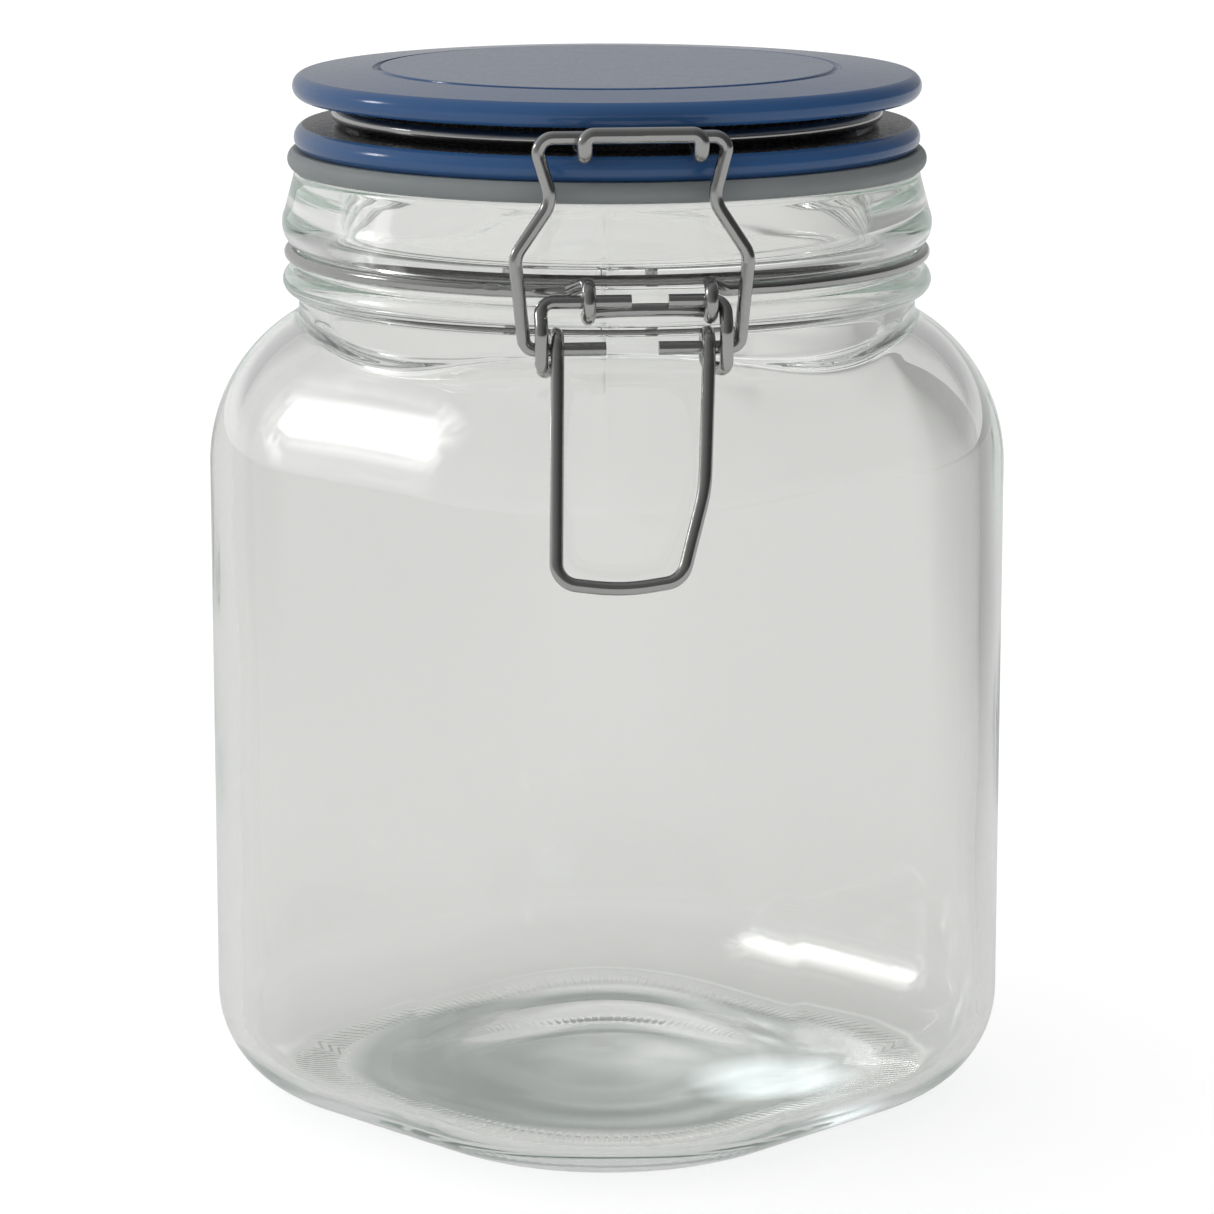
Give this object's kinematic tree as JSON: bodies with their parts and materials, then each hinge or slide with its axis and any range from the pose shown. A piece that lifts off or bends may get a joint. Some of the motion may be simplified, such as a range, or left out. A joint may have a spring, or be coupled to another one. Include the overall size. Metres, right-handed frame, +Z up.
{
  "type": "bail clamp jar",
  "caption": "Glass storage jar with a rounded-square body, a plastic lid with a silicone gasket, and a wire bail clamp that pulls the hinged lid down.",
  "frame": {"origin": "centre of the jar's base, on the resting plane", "axes": "+Z up along the jar's axis; a corner of the body points along -Y, towards the wire clamp; the lid hinge is on the +Y side"},
  "size_m": [0.124, 0.1291, 0.1625],
  "materials": {
    "glass": "clear pressed glass, faintly green in thick edges",
    "blue_plastic": "glossy",
    "dark_plastic": "satin to glossy",
    "silicone": "translucent grey silicone",
    "steel_wire": "bright drawn wire"
  },
  "bodies": {
    "jar": {"glass_jar": "glass", "neck_wire": "steel_wire"},
    "lid": {"lid_disc": "blue_plastic", "lid_core": "dark_plastic", "lid_flange_ring": "blue_plastic", "gasket": "silicone", "lid_wire": "steel_wire"},
    "lever": {"lever_handle": "steel_wire"},
    "bail": {"bail_loop": "steel_wire"}
  },
  "joints": [
    {"name": "lid_hinge", "type": "hinge", "parent": "jar", "child": "lid", "pos_m": [-0.00502, 0.05216, 0.1334], "axis": [-0.9954, -0.0958, 0], "range_deg": [0, 115]},
    {"name": "lever_swing", "type": "hinge", "parent": "jar", "child": "lever", "pos_m": [0.00502, -0.05216, 0.1334], "axis": [-0.9954, -0.0958, 0], "range_deg": [0, 115]},
    {"name": "bail_swing", "type": "hinge", "parent": "lever", "child": "bail", "pos_m": [0.00501, -0.05206, 0.1265], "axis": [-0.9954, -0.0958, 0], "range_deg": [-95, 0]}
  ],
  "couplings": [
    {"joint": "bail_swing", "follows": "lever_swing", "ratio": -0.82}
  ]
}
